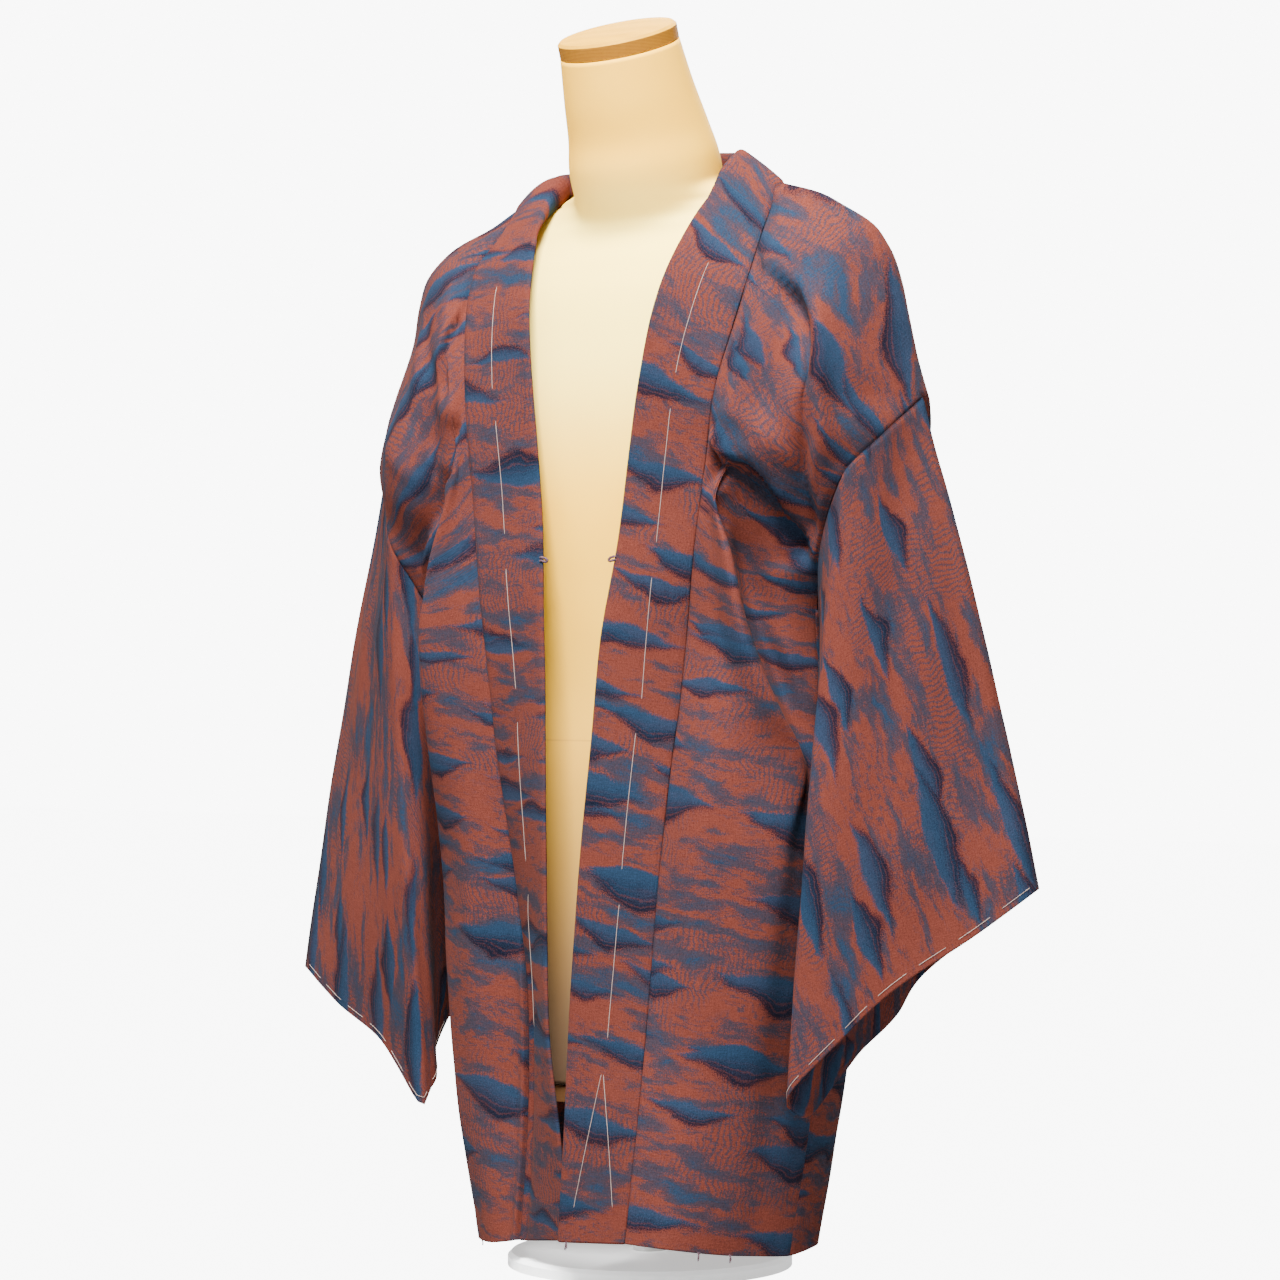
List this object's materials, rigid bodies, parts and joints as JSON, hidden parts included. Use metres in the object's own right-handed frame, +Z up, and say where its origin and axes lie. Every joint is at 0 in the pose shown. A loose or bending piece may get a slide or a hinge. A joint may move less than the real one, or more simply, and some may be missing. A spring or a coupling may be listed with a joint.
{
  "type": "haori jacket on a limbless dress form",
  "caption": "Open-fronted haori jacket with wide hanging sleeves, side gussets and a long folded collar, worn by a limbless dress form on a round base.",
  "frame": {"origin": "centre of the round base's underside, on the form's axis", "axes": "+Z up, -Y the way the wearer faces, +X the wearer's left"},
  "size_m": [0.654, 0.2683, 0.9445],
  "materials": {
    "cloth": "matte woven cloth, brick with blue",
    "collar": "matte woven cloth, brick with blue",
    "form": "smooth cream cover",
    "wood": "clear varnish",
    "metal": "satin grey"
  },
  "bodies": {
    "root": {"body_left": "cloth", "body_right": "cloth", "gusset_left": "cloth", "gusset_right": "cloth", "sleeve_left": "cloth", "sleeve_right": "cloth", "collar": "collar", "tie_loop_left": "collar", "tie_loop_right": "collar", "form_torso": "form", "neck_cap": "wood", "bottom_board": "wood", "stand_pole": "metal", "stand_base": "metal"}
  },
  "joints": []
}
